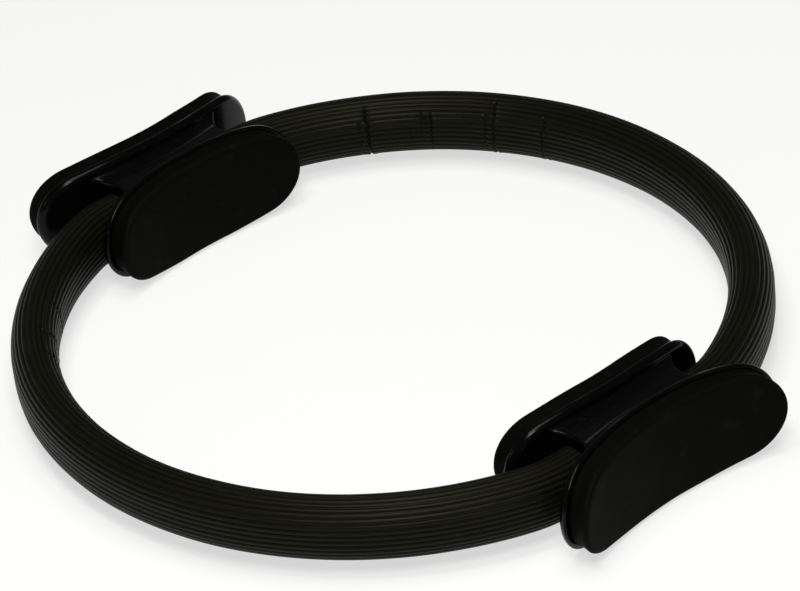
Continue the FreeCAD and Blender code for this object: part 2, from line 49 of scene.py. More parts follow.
print("frame loaded,", len(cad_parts), "nodes")

hoop = {
    "ringRadius": 0.178,  # to the middle of the spring band
    "handleRadius": 0.170,  # to the straight run inside a handle
    "bendRadius": 0.060,  # the tighter bend at each mouth
    "height": 0.0250,  # of its middle above the floor
}
bendY = hoop["handleRadius"] - hoop["bendRadius"]
bendX = math.sqrt((hoop["ringRadius"] - hoop["bendRadius"]) ** 2 - bendY ** 2)
joinAngle = math.atan2(bendY, bendX)
upAxis = (0, 0, 1)


def smoothStep(low, high, value):
    share = max(0.0, min(1.0, (value - low) / (high - low)))
    return share * share * (3 - 2 * share)


# materials
def newGroup(name, inputs, outputs):
    group = bpy.data.node_groups.new(name, "ShaderNodeTree")
    for label, value in inputs:
        socket = group.interface.new_socket(label, in_out="INPUT", socket_type="NodeSocketFloat")
        socket.default_value = value
    for label in outputs:
        group.interface.new_socket(label, in_out="OUTPUT", socket_type="NodeSocketFloat")
    return group, group.nodes.new("NodeGroupInput"), group.nodes.new("NodeGroupOutput")


def addNode(tree, kind, **values):
    node = tree.nodes.new(kind)
    for key, value in values.items():
        setattr(node, key, value)
    return node


def addMath(tree, operation, first, second):
    node = addNode(tree, "ShaderNodeMath", operation=operation)
    for socket, value in zip(node.inputs, (first, second)):
        if isinstance(value, (int, float)):
            socket.default_value = value
        else:
            tree.links.new(value, socket)
    return node.outputs[0]


skinShape = {"poreShare": 0.7, "fineDetail": 3, "mottleDetail": 4}
wearShape = {
    "lean": (0.4, 0.2, 0.9),
    "stretch": (1, 7, 2),  # draws the scuffs out into thin lines
    "scratchDetail": 6,
    "dustDetail": 8,
    "full": 0.85,
}


# pores and faint mottling, coarse on foam and faint on the harder pieces
def makeFoamGroup():
    inputs = [("Pore Scale", 1400), ("Mottle Scale", 60)]
    group, given, result = newGroup("foamSkin", inputs, ["Height", "Mottle"])
    place = group.nodes.new("ShaderNodeTexCoord").outputs["Object"]
    pores = addNode(group, "ShaderNodeTexVoronoi", feature="SMOOTH_F1")
    fine = addNode(group, "ShaderNodeTexNoise")
    mottle = addNode(group, "ShaderNodeTexNoise")
    fine.inputs["Detail"].default_value = skinShape["fineDetail"]
    mottle.inputs["Detail"].default_value = skinShape["mottleDetail"]
    for node in (pores, fine, mottle):
        group.links.new(place, node.inputs["Vector"])
    group.links.new(given.outputs["Pore Scale"], pores.inputs["Scale"])
    group.links.new(given.outputs["Pore Scale"], fine.inputs["Scale"])
    group.links.new(given.outputs["Mottle Scale"], mottle.inputs["Scale"])
    coarse = addMath(group, "MULTIPLY", pores.outputs["Distance"], skinShape["poreShare"])
    height = addMath(group, "ADD", coarse, fine.outputs["Fac"])
    group.links.new(height, result.inputs["Height"])
    group.links.new(mottle.outputs["Fac"], result.inputs["Mottle"])
    return group


# thin scuffs and settled dust
def makeWearGroup():
    group, given, result = newGroup("scuffWear", [("Scale", 90), ("Reach", 0.62)], ["Scuff", "Dust"])
    place = group.nodes.new("ShaderNodeTexCoord").outputs["Object"]
    turned = addNode(group, "ShaderNodeMapping")
    turned.inputs["Rotation"].default_value = wearShape["lean"]
    turned.inputs["Scale"].default_value = wearShape["stretch"]
    group.links.new(place, turned.inputs["Vector"])
    scratch = addNode(group, "ShaderNodeTexNoise")
    dust = addNode(group, "ShaderNodeTexNoise")
    scratch.inputs["Detail"].default_value = wearShape["scratchDetail"]
    dust.inputs["Detail"].default_value = wearShape["dustDetail"]
    group.links.new(turned.outputs["Vector"], scratch.inputs["Vector"])
    group.links.new(place, dust.inputs["Vector"])
    group.links.new(given.outputs["Scale"], scratch.inputs["Scale"])
    group.links.new(given.outputs["Scale"], dust.inputs["Scale"])
    for node, label in ((scratch, "Scuff"), (dust, "Dust")):
        cut = addNode(group, "ShaderNodeMapRange")
        group.links.new(node.outputs["Fac"], cut.inputs["Value"])
        group.links.new(given.outputs["Reach"], cut.inputs["From Min"])
        cut.inputs["From Max"].default_value = wearShape["full"]
        group.links.new(cut.outputs["Result"], result.inputs[label])
    return group


foamGroup = makeFoamGroup()
wearGroup = makeWearGroup()


def placeGroup(tree, group, first, second):
    node = addNode(tree, "ShaderNodeGroup", node_tree=group)
    node.inputs[0].default_value = first
    node.inputs[1].default_value = second
    return node


def addMix(tree, share, first, second):
    node = addNode(tree, "ShaderNodeMix", data_type="RGBA")
    for socket, value in ((node.inputs[0], share), (node.inputs[6], first), (node.inputs[7], second)):
        if isinstance(value, (tuple, float)):
            socket.default_value = value
        else:
            tree.links.new(value, socket)
    return node.outputs[2]


def addRange(tree, value, low, high):
    node = addNode(tree, "ShaderNodeMapRange")
    tree.links.new(value, node.inputs["Value"])
    node.inputs["To Min"].default_value = low
    node.inputs["To Max"].default_value = high
    return node.outputs["Result"]


def addBump(tree, height, strength, distance):
    node = addNode(tree, "ShaderNodeBump")
    node.inputs["Strength"].default_value = strength
    node.inputs["Distance"].default_value = distance
    tree.links.new(height, node.inputs["Height"])
    return node.outputs["Normal"]


def newMaterial(name):
    material = bpy.data.materials.new(name)
    material.use_nodes = True
    tree = material.node_tree
    return material, tree, tree.nodes["Principled BSDF"]


# per foam, the darker colour is painted shade in rib grooves and wrinkles, the lighter one painted light on
# rib crests and pad brows
foamLooks = {
    "sleeve": {
        "shadedTone": (0.0015, 0.0016, 0.0009, 1),
        "litTone": (0.0060, 0.0060, 0.0033, 1),
        "rough": (0.33, 0.43),
        "pores": 1700,
        "mottle": 45,
        "bump": 0.25,
        "shine": 0.07,
        "sheen": (1.0, 0.97, 0.72, 1),
    },
    "pad": {
        "shadedTone": (0.0009, 0.0011, 0.0007, 1),
        "litTone": (0.0030, 0.0033, 0.0022, 1),
        "rough": (0.58, 0.74),
        "pores": 1300,
        "mottle": 70,
        "bump": 0.35,
        "shine": 0.03,
        "sheen": (0.95, 1.0, 0.80, 1),
    },
}


foamWear = {
    "scale": 130,
    "reach": 0.60,
    "share": 0.10,
    "dust": (0.050, 0.048, 0.042, 1),
    "mottleTone": (0.55, 1.35),
    "bumpDepth": 0.00025,
}


def makeFoam(name, looks):
    material, tree, shader = newMaterial(name)
    skin = placeGroup(tree, foamGroup, looks["pores"], looks["mottle"])
    wear = placeGroup(tree, wearGroup, foamWear["scale"], foamWear["reach"])
    # this attribute carries painted light: darker rib grooves and wrinkles as painted shade, lighter pad
    # brows as painted sheen
    paintedLight = addNode(tree, "ShaderNodeAttribute", attribute_name="paintedLight").outputs["Fac"]
    mottle = skin.outputs["Mottle"]
    # random mottling varies it, and the mix runs from the painted-shade colour to the lit colour
    tone = addMath(tree, "MULTIPLY", paintedLight, addRange(tree, mottle, *foamWear["mottleTone"]))
    colour = addMix(tree, tone, looks["shadedTone"], looks["litTone"])
    dusty = addMath(tree, "MULTIPLY", wear.outputs["Dust"], foamWear["share"])
    bump = addBump(tree, skin.outputs["Height"], looks["bump"], foamWear["bumpDepth"])
    tree.links.new(addMix(tree, dusty, colour, foamWear["dust"]), shader.inputs["Base Color"])
    tree.links.new(addRange(tree, mottle, *looks["rough"]), shader.inputs["Roughness"])
    tree.links.new(bump, shader.inputs["Normal"])
    shader.inputs["Specular IOR Level"].default_value = looks["shine"]
    shader.inputs["Specular Tint"].default_value = looks["sheen"]
    return material


# skin holds the scales of pores and mottling, wearing its scale and reach, bump its strength and depth
hardLooks = {
    "handlePlastic": {
        "skin": (900, 30),
        "wearing": (160, 0.60),
        "tones": ((0.0007, 0.0007, 0.0008, 1), (0.0018, 0.0018, 0.0016, 1)),
        "wear": "Scuff",
        "wearTone": (0.020, 0.020, 0.019, 1),
        "wearShare": 0.30,
        "wearRough": 0.20,
        "rough": (0.13, 0.23),
        "bump": (0.05, 0.0002),
        "shine": 0.10,
        "metal": 0,
    },
    "springFibreglass": {
        "skin": (700, 25),
        "wearing": (60, 0.5),
        "tones": ((0.46, 0.47, 0.33, 1), (0.66, 0.64, 0.50, 1)),
        "wear": "Scuff",
        "wearTone": (0.74, 0.73, 0.66, 1),
        "wearShare": 1,
        "wearRough": 0,
        "rough": (0.32, 0.52),
        "bump": (0.15, 0.0002),
        "shine": 0.5,
        "metal": 0,
    },
    "zincSteel": {
        "skin": (1100, 120),
        "wearing": (220, 0.55),
        "tones": ((0.48, 0.49, 0.50, 1), (0.70, 0.69, 0.64, 1)),
        "wear": "Dust",
        "wearTone": (0.30, 0.28, 0.25, 1),
        "wearShare": 1,
        "wearRough": 0,
        "rough": (0.28, 0.45),
        "bump": (0.12, 0.0001),
        "shine": 0.5,
        "metal": 1,
    },
}


def makeHard(name):
    looks = hardLooks[name]
    material, tree, shader = newMaterial(name)
    skin = placeGroup(tree, foamGroup, *looks["skin"])
    wear = placeGroup(tree, wearGroup, *looks["wearing"]).outputs[looks["wear"]]
    colour = addMix(tree, skin.outputs["Mottle"], *looks["tones"])
    shown = addMath(tree, "MULTIPLY", wear, looks["wearShare"])
    dulled = addMath(tree, "MULTIPLY", wear, looks["wearRough"])
    rough = addMath(tree, "ADD", addRange(tree, skin.outputs["Mottle"], *looks["rough"]), dulled)
    tree.links.new(addMix(tree, shown, colour, looks["wearTone"]), shader.inputs["Base Color"])
    tree.links.new(rough, shader.inputs["Roughness"])
    tree.links.new(addBump(tree, skin.outputs["Height"], *looks["bump"]), shader.inputs["Normal"])
    shader.inputs["Specular IOR Level"].default_value = looks["shine"]
    shader.inputs["Metallic"].default_value = looks["metal"]
    return material


sleeveFoam = makeFoam("sleeveFoam", foamLooks["sleeve"])
padFoam = makeFoam("padFoam", foamLooks["pad"])
handlePlastic = makeHard("handlePlastic")
springStrip = makeHard("springFibreglass")
zincSteel = makeHard("zincSteel")
print("materials made")


def finishPiece(name, bm, material, sharpAngle=None):
    bmesh.ops.recalc_face_normals(bm, faces=bm.faces)
    mesh = bpy.data.meshes.new(name)
    bm.to_mesh(mesh)
    bm.free()
    mesh.polygons.foreach_set("use_smooth", [True] * len(mesh.polygons))
    if sharpAngle:
        mesh.set_sharp_from_angle(angle=math.radians(sharpAngle))
    mesh.materials.append(material)
    piece = bpy.data.objects.new(name, mesh)
    scene.collection.objects.link(piece)
    return piece


fineWeld = 1e-6
bandWeld = 1e-5
sliceWeld = 1e-4


def edgesOf(geom):
    return [item for item in geom if isinstance(item, bmesh.types.BMEdge)]


def vertsOf(geom):
    return [item for item in geom if isinstance(item, bmesh.types.BMVert)]


def roundEdges(bm, edges, offset, segments):
    bmesh.ops.bevel(bm, geom=edges, offset=offset, offset_type="OFFSET", affect="EDGES", segments=segments,
                    profile=0.5, material=-1, clamp_overlap=True)


# cuts straight through at each place along an axis, so that flat faces can follow a bend
def sliceThrough(bm, axis, places):
    normal = Vector((axis == "x", axis == "y", axis == "z"))
    for place in places:
        bmesh.ops.bisect_plane(bm, geom=list(bm.verts) + list(bm.edges) + list(bm.faces), dist=sliceWeld,
                               plane_co=normal * place, plane_no=normal)


# foam sleeve, one piece for each quarter of the hoop
sleeve = {
    "width": 0.0230,
    "height": 0.0330,
    "sideFlat": 0.0070,
    "end": 0.0366,  # where it stops inside the mouth
    "ribs": 32,
    "ribDepth": 0.00055,
    "ribPoints": 8,
    "longStep": 1.0,  # degrees along the hoop
    "shortStep": 0.1,  # across a wrinkle
    "wrinkleRoom": 0.75,
    "seed": 3,  # of the wander
    "wander": 0.00012,
    "wanderScale": 28,
    "bendSteps": 14,
    "endClose": (1, 0.2, 0.58),  # the end face drawn in to the spring band
}
noise.seed_set(sleeve["seed"])
# wrinkles on the inside of the far quarters: degrees from the side, depth, width, lean, lowest and highest
wrinkles = {
    "right": [(19.2, 0.0006, 0.0005, 0.02, 0.000, 0.012), (19.9, 0.0012, 0.0006, -0.06, -0.015, 0.012),
              (29.4, 0.0012, 0.0006, -0.03, -0.016, 0.015), (31.0, 0.0009, 0.0009, 0.00, -0.010, 0.010),
              (40.9, 0.0011, 0.0005, 0.00, -0.012, 0.010), (41.8, 0.0005, 0.0005, 0.04, 0.002, 0.010),
              (42.7, 0.0006, 0.0006, -0.05, -0.002, 0.011), (44.7, 0.0006, 0.0005, 0.03, -0.005, 0.004),
              (52.3, 0.0013, 0.0006, 0.05, -0.016, 0.014), (53.7, 0.0007, 0.0007, 0.02, -0.014, 0.008)],
    "left": [(30.6, 0.0008, 0.0011, 0.04, -0.016, 0.014), (37.8, 0.0015, 0.0012, -0.05, -0.016, 0.015),
             (46.5, 0.0008, 0.0010, 0.05, -0.016, 0.014)],
}
crease = {
    "face": (0.002, -0.006),  # across the sleeve, where a wrinkle starts and where it is full
    "span": 8,  # in widths, how far a wrinkle reaches
    "waver": (0.0008, 230, 1.7),  # amount, scale and seed
    "tremble": (0.0004, 800, 4.1),
    "fade": 0.002,
    "depth": 0.7,
    "swell": 0.3,
    "swellPlace": 2.2,  # in widths
    "swellWidth": 1.4,
    "shade": 0.3,
}


def sectionPlaces(count):
    # points and normals shared out evenly round a section with flat sides
    across, flat = sleeve["width"] / 2, sleeve["sideFlat"]
    upright = (sleeve["height"] - flat) / 2
    steps = 3600
    girth = [0.0]
    for i in range(steps):
        angle = math.pi * (i + 0.5) / steps
        pace = math.hypot(across * math.sin(angle), upright * math.cos(angle))
        girth.append(girth[-1] + pace * math.pi / steps)
    places = []
    for i in range(count):
        turns = 2 * i / count
        side = 1 if turns < 1 else -1
        run = (girth[-1] + flat) * (turns % 1) - flat / 2
        held = max(0, min(girth[-1], run))
        angle = math.pi * min(steps, bisect.bisect_left(girth, held)) / steps
        up = flat / 2 + upright * math.sin(angle) - abs(run - held)
        normal = Vector((math.cos(angle) / across, 0, math.sin(angle) / upright)).normalized()
        places.append((side * Vector((across * math.cos(angle), 0, up)), side * normal))
    return places


sleevePlaces = sectionPlaces(sleeve["ribs"] * sleeve["ribPoints"])


def sweep(bm, loop, centre, angle, steps):
    return bmesh.ops.spin(bm, geom=loop, cent=centre, axis=upAxis, angle=angle, steps=steps)["geom_last"]


def ringRuns(folds):
    # long steps round the ring, and short ones across each wrinkle
    runs = []
    reached = 0.0
    for fold in folds:
        low, high = max(reached, fold[0] - sleeve["wrinkleRoom"]), fold[0] + sleeve["wrinkleRoom"]
        if low > reached:
            runs.append((reached, low, sleeve["longStep"]))
        runs.append((low, high, sleeve["shortStep"]))
        reached = high
    runs.append((reached, math.degrees(joinAngle), sleeve["longStep"]))
    return runs


def waverAt(up, place, waver):
    amount, scale, seed = waver
    return amount * noise.noise(Vector((up * scale, place, seed)))


def pressFolds(vert, paintedLight, folds):
    # presses the inner face in along each wrinkle, lets the foam swell beside it, and darkens the colour
    # along it as painted shade
    co = vert.co
    across = math.hypot(co.x, co.y) - hoop["ringRadius"]
    up = co.z - hoop["height"]
    inside = smoothStep(*crease["face"], across)
    if inside <= 0:
        return
    angle = math.atan2(abs(co.y), co.x)
    press = shade = 0.0
    for place, depth, width, lean, low, high in folds:
        gap = (angle - math.radians(place)) * (hoop["ringRadius"] + across) - lean * up
        if abs(gap) > crease["span"] * width:
            continue
        gap += waverAt(up, place, crease["waver"]) + waverAt(up, place, crease["tremble"])
        fade = crease["fade"]
        reach = inside * smoothStep(low - fade, low + fade, up) * smoothStep(high + fade, high - fade, up)
        fold = math.exp(-(gap / width) ** 2)
        beside = (abs(gap) - crease["swellPlace"] * width) / (crease["swellWidth"] * width)
        press += crease["depth"] * reach * depth * (fold - crease["swell"] * math.exp(-beside ** 2))
        shade = max(shade, reach * fold)
    out = Vector((math.cos(angle), math.copysign(math.sin(angle), co.y), 0))
    towards = (out * -across - Vector((0, 0, up))).normalized()
    vert.co = co + towards * press
    # painted shade: the colour darkens along each wrinkle
    vert[paintedLight] *= 1 - crease["shade"] * shade


def makeSleeve(side, end):
    bm = bmesh.new()
    paintedLight = bm.verts.layers.float.new("paintedLight")
    turn = 1 if end == "far" else -1
    centre = Vector((hoop["ringRadius"], 0, hoop["height"]))
    ring = bmesh.ops.create_circle(bm, segments=len(sleevePlaces), radius=1)["verts"]
    for i, vert in enumerate(ring):
        place, normal = sleevePlaces[i]
        groove = (2 * (i % sleeve["ribPoints"]) / sleeve["ribPoints"] - 1) ** 2
        vert.co = place + centre - normal * sleeve["ribDepth"] * groove
        # the attribute darkens the colour in the grooves as painted shade, lighter at the crests
        vert[paintedLight] = 1 - groove
    first = list(bm.edges)
    loop = list(bm.verts) + first

    # the round of the ring, the tighter bend at the mouth, and the straight end tucked in there
    folds = wrinkles[side] if end == "far" else []
    for low, high, step in ringRuns(folds):
        loop = sweep(bm, loop, (0, 0, 0), turn * math.radians(high - low), math.ceil((high - low) / step))
    loop = sweep(bm, loop, (bendX, turn * bendY, 0), turn * (math.pi / 2 - joinAngle), sleeve["bendSteps"])
    loop = bmesh.ops.extrude_edge_only(bm, edges=edgesOf(loop))["geom"]
    bmesh.ops.translate(bm, verts=vertsOf(loop), vec=(sleeve["end"] - bendX, 0, 0))
    last = edgesOf(loop)
    # the end face closes in on the spring band
    loop = bmesh.ops.extrude_edge_only(bm, edges=last)["geom"]
    middle = Vector((sleeve["end"], turn * hoop["handleRadius"], hoop["height"]))
    bmesh.ops.scale(bm, verts=vertsOf(loop), vec=sleeve["endClose"], space=Matrix.Translation(-middle))
    bmesh.ops.contextual_create(bm, geom=edgesOf(loop))
    bmesh.ops.contextual_create(bm, geom=first)
    for edge in first + last:
        edge.smooth = False
    for vert in bm.verts:
        if folds:
            pressFolds(vert, paintedLight, folds)
        vert.co += sleeve["wander"] * noise.noise_vector(vert.co * sleeve["wanderScale"])
    if side == "left":
        bmesh.ops.scale(bm, verts=bm.verts, vec=(-1, 1, 1))
    return finishPiece(side + end.capitalize() + "Sleeve", bm, sleeveFoam)


def bendPiece(piece, end):
    if end == "near":
        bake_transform(piece)
    else:
        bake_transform(piece)


for side in ("left", "right"):
    for end in ("near", "far"):
        piece = makeSleeve(side, end)
        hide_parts(side + "_sleeve")
        bendPiece(piece, end)
print("sleeves made")


# spring band, cut at the sides of the ring into quarters
def makeBand(side, end):
    bm = bmesh.new()
    bm.from_mesh(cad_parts[side + "_spring_band"].data)
    bmesh.ops.remove_doubles(bm, verts=bm.verts, dist=fineWeld)
    geom = list(bm.verts) + list(bm.edges) + list(bm.faces)
    away = (0, 1 if end == "near" else -1, 0)
    bmesh.ops.bisect_plane(bm, geom=geom, dist=bandWeld, plane_co=(0, 0, 0), plane_no=away, clear_outer=True)
    bmesh.ops.remove_doubles(bm, verts=bm.verts, dist=bandWeld)
    bmesh.ops.dissolve_degenerate(bm, edges=bm.edges, dist=bandWeld)
    bmesh.ops.holes_fill(bm, edges=[edge for edge in bm.edges if edge.is_boundary], sides=0)
    name = side + end.capitalize() + "SpringBand"
    return finishPiece(name, bm, springStrip, sharpAngle=30)


for side in ("left", "right"):
    for end in ("near", "far"):
        piece = makeBand(side, end)
        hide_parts(side + "_spring_band")
        bendPiece(piece, end)
print("spring bands made")

# handles: bent oval flanges, saddle webs and foam pads
handle = {
    "height": 0.0270,  # of its middle above the floor
    "throat": 0.0180,  # between the flanges at the middle
    "flangeThick": 0.0050,
    "halfTop": 0.0270,
    "halfFlat": 0.012,
    "endRadius": 0.0246,
    "outer": {"halfLength": 0.0700, "bend": 0.182},
    "inner": {"halfLength": 0.0625, "bend": 0.226},
    "throatRound": 0.0033,  # rounding of the rim on its throat side
    "padRound": 0.0015,
    "throatSteps": 8,
    "padSteps": 5,
    "outlinePoints": 176,
    "bendStep": 0.003,
}


def shoulderRadius(half):
    endX = half["halfLength"] - handle["endRadius"] - handle["halfFlat"]
    rise = handle["halfTop"] - handle["endRadius"]
    return (endX ** 2 + handle["halfTop"] ** 2 - handle["endRadius"] ** 2) / (2 * rise)


def ovalPoint(share, half, inset):
    # a point of the flange's outline, share 0 to 1 round it, drawn in by inset
    top, flat, endRadius = handle["halfTop"], handle["halfFlat"], handle["endRadius"]
    endX = half["halfLength"] - endRadius
    shoulder = shoulderRadius(half)
    meet = math.atan2(shoulder - top, endX - flat)
    endRun, shoulderRun = endRadius * meet, shoulder * (math.pi / 2 - meet)
    quarter = int(share * 4) % 4
    along = (share * 4) % 1
    run = (along if quarter % 2 == 0 else 1 - along) * (endRun + shoulderRun + flat)
    if run < endRun:
        angle = run / endRadius
        x, z = endX + (endRadius - inset) * math.cos(angle), (endRadius - inset) * math.sin(angle)
    elif run < endRun + shoulderRun:
        angle = meet + (run - endRun) / shoulder
        x = flat + (shoulder - inset) * math.cos(angle)
        z = top - shoulder + (shoulder - inset) * math.sin(angle)
    else:
        x, z = flat - (run - endRun - shoulderRun), top - inset
    return (x if quarter in (0, 3) else -x), (z if quarter < 2 else -z)


def outlineTop(x, half):
    # height of the flange's edge above its middle
    shoulder, endRadius = shoulderRadius(half), handle["endRadius"]
    endX = half["halfLength"] - endRadius
    meet = math.atan2(shoulder - handle["halfTop"], endX - handle["halfFlat"])
    if abs(x) > endX + endRadius * math.cos(meet):
        return math.sqrt(max(0, endRadius ** 2 - (abs(x) - endX) ** 2))
    past = max(0, abs(x) - handle["halfFlat"])
    return handle["halfTop"] - shoulder + math.sqrt(shoulder ** 2 - past ** 2)


def bentY(x, height, which):
    # distance from the middle of the ring for a height above the flange's pad face
    half = handle[which]
    radius = half["bend"] - height
    face = handle["throat"] / 2 + handle["flangeThick"]
    if which == "outer":
        return hoop["handleRadius"] + face + half["bend"] - math.sqrt(radius ** 2 - x ** 2)
    return hoop["handleRadius"] - face - half["bend"] + math.sqrt(radius ** 2 - x ** 2)


def throatGap(x, which):
    # from the line of the hoop to a flange
    return abs(bentY(x, -handle["flangeThick"], which) - hoop["handleRadius"])


def placeHandle(bm, end):
    bmesh.ops.translate(bm, verts=bm.verts, vec=(0, 0, handle["height"]))
    if end == "near":
        bmesh.ops.rotate(bm, verts=bm.verts, cent=(0, 0, 0), matrix=Matrix.Rotation(math.pi, 3, "Z"))


def ovalSlab(bm, half, inset, low, high):
    # an oval plate with its thickness along Y; gives back the edges of its two faces
    ring = bmesh.ops.create_circle(bm, segments=handle["outlinePoints"], radius=1)["verts"]
    for i, vert in enumerate(ring):
        x, z = ovalPoint(i / len(ring), half, inset)
        vert.co = Vector((x, low, z))
    lowEdges = list(bm.edges)
    made = bmesh.ops.extrude_edge_only(bm, edges=lowEdges)["geom"]
    bmesh.ops.translate(bm, verts=vertsOf(made), vec=(0, high - low, 0))
    highEdges = edgesOf(made)
    for edges in (lowEdges, highEdges):
        bmesh.ops.contextual_create(bm, geom=edges)
    return lowEdges, highEdges


def evenPlaces(reach, step):
    count = math.floor(reach / step)
    return [i * step for i in range(-count, count + 1)]


pad = {
    "inset": 0.0009,  # its outline inside the flange's
    "endInset": 0.0020,  # and this much more at the ends
    "glue": 0.0003,
    "thick": 0.0113,
    "crown": 0.0010,
    "brow": 0.0028,
    "foot": 0.0008,
    "footSteps": 2,
    "browSteps": 6,
    "waist": 0.0004,  # how far the side draws in
    "waistSpan": 0.04,  # at this distance from the middle
    "waistTop": 0.7,  # the share of the height that it takes up
    "uneven": 0.00022,
    "unevenScale": 45,
    "tone": (0.45, 0.5),  # of the faces, and the painted sheen that the brow adds
    "toneRise": (0.72, 0.92),
    "toneFall": (1.0, 0.97),
    "acrossStep": 0.0045,
    "sideCuts": [0.0025, 0.0040, 0.0055, 0.0070],
}


def makePad(end, which):
    bm = bmesh.new()
    paintedLight = bm.verts.layers.float.new("paintedLight")
    half = {"halfLength": handle[which]["halfLength"] - pad["endInset"]}
    lowEdges, highEdges = ovalSlab(bm, half, pad["inset"], pad["glue"], pad["thick"])
    roundEdges(bm, lowEdges, pad["foot"], pad["footSteps"])
    roundEdges(bm, [edge for edge in highEdges if edge.is_valid], pad["brow"], pad["browSteps"])
    sliceThrough(bm, "x", evenPlaces(handle[which]["halfLength"], handle["bendStep"]))
    sliceThrough(bm, "z", evenPlaces(handle["halfTop"], pad["acrossStep"]))
    sliceThrough(bm, "y", pad["sideCuts"])
    seed = len(end) + 3 * len(which)
    for vert in bm.verts:
        x, height, z = vert.co
        share = (height - pad["glue"]) / (pad["thick"] - pad["glue"])
        draw = 1 - pad["waist"] / pad["waistSpan"] * math.sin(math.pi * min(1, share / pad["waistTop"]))
        height -= pad["crown"] * share * (z / handle["halfTop"]) ** 2
        spot = Vector((x * pad["unevenScale"], z * pad["unevenScale"], seed))
        height += pad["uneven"] * share * noise.noise(spot)
        # the brow gets a lighter colour: painted sheen along the pad's rounded top edge
        brow = smoothStep(*pad["toneRise"], share) * smoothStep(*pad["toneFall"], share)
        vert[paintedLight] = pad["tone"][0] + pad["tone"][1] * brow
        vert.co = Vector((x * draw, bentY(x * draw, height, which), z * draw))
    placeHandle(bm, end)
    return finishPiece(end + which.capitalize() + "Pad", bm, padFoam)


for end in ("near", "far"):
    for which in ("outer", "inner"):
        piece = makePad(end, which)
        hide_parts(end + "_" + which + "_pad")
        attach(piece, end + "_handle")
print("pads made")

web = {
    "roof": 0.0195,
    "wall": 0.0026,
    "valley": 0.0070,
    "mouthRadius": 0.0165,
    "mouthSetback": 0.0355,
    "topSteps": 24,  # from the middle to a lip, then round the lip, then back below
    "lipSteps": 8,
    "lowSteps": 12,
    "rows": 24,
    "flatShare": 0.4,  # of the rows, between the seam and the foot of the valley's round
    "lipReach": 0.98,  # of the mouth's radius, where the lip's round is cut off
    "passes": 6,
    "probe": 0.01,
}
fixings = {
    "bossRadius": 0.0034,
    "bossSides": 28,
    "bossPlaces": [(0.020, 0.0147), (-0.020, 0.0147), (0.020, -0.0147), (-0.020, -0.0147)],
    "ribPlaces": [0.029, -0.029],
    "ribThick": 0.003,
    "ribHeight": 0.016,
    "bandHalf": 0.0016,
    "root": 0.001,  # how far they run into the flange
}


def lipStart(y):
    gap = min(abs(y - hoop["handleRadius"]), web["mouthRadius"] * web["lipReach"])
    end = web["mouthSetback"] + web["mouthRadius"] - math.sqrt(web["mouthRadius"] ** 2 - gap ** 2)
    return end - web["wall"] / 2


def webPoint(across, up, which):
    # across from one mouth to the other, -1 to 1, and up from the seam to the flange, 0 to 1
    x = across * web["mouthSetback"]
    for i in range(web["passes"]):
        rise = outlineTop(x, handle[which]) - handle["throatRound"] - web["roof"]
        rise = max(0, min(web["valley"], rise))
        if up < web["flatShare"]:
            foot = bentY(x, -handle["flangeThick"] - web["valley"], which)
            y = hoop["handleRadius"] + (foot - hoop["handleRadius"]) * up / web["flatShare"]
            z = web["roof"]
        else:
            angle = (up - web["flatShare"]) / (1 - web["flatShare"]) * math.pi / 2
            y = bentY(x, -handle["flangeThick"] - web["valley"] * (1 - math.sin(angle)), which)
            z = web["roof"] + rise * (1 - math.cos(angle))
        x = across * lipStart(y)
    return Vector((x, y, z))


def webAxes(across, up, which):
    # a point of the web's top with the ways out of it and along it
    spot, probe = webPoint(across, up, which), web["probe"]
    along = webPoint(across + probe, up, which) - webPoint(across - probe, up, which)
    over = webPoint(across, min(1, up + probe), which) - webPoint(across, max(0, up - probe), which)
    normal = along.cross(over).normalized() * (1 if which == "outer" else -1)
    return spot, normal, (along - normal * along.dot(normal)).normalized()


def makeWeb(which):
    # half of the saddle between the flanges, with full round lips at the mouths
    bm = bmesh.new()
    top, lip, low = web["topSteps"], web["lipSteps"], web["lowSteps"]
    reach = top + lip + low
    bmesh.ops.create_grid(bm, x_segments=2 * reach, y_segments=web["rows"], size=1)
    for vert in bm.verts:
        step, side = abs(vert.co.x) * reach, math.copysign(1, vert.co.x)
        across = min(1, step / top, (reach - step) / low)
        turned = math.pi * max(0, min(1, (step - top) / lip))
        spot, normal, along = webAxes(side * across, (vert.co.y + 1) / 2, which)
        bulge = normal * (math.cos(turned) - 1) + along * side * math.sin(turned)
        vert.co = spot + web["wall"] / 2 * bulge
    bmesh.ops.remove_doubles(bm, verts=bm.verts, dist=fineWeld)
    bmesh.ops.holes_fill(bm, edges=[edge for edge in bm.edges if edge.is_boundary], sides=0)
    mirrored = bmesh.ops.duplicate(bm, geom=list(bm.verts) + list(bm.edges) + list(bm.faces))["geom"]
    bmesh.ops.scale(bm, verts=vertsOf(mirrored), vec=(1, 1, -1))
    bmesh.ops.recalc_face_normals(bm, faces=bm.faces)
    return bm


def joinMesh(bm, other):
    carrier = bpy.data.meshes.new("carrier")
    other.to_mesh(carrier)
    other.free()
    bm.from_mesh(carrier)
    bpy.data.meshes.remove(carrier)


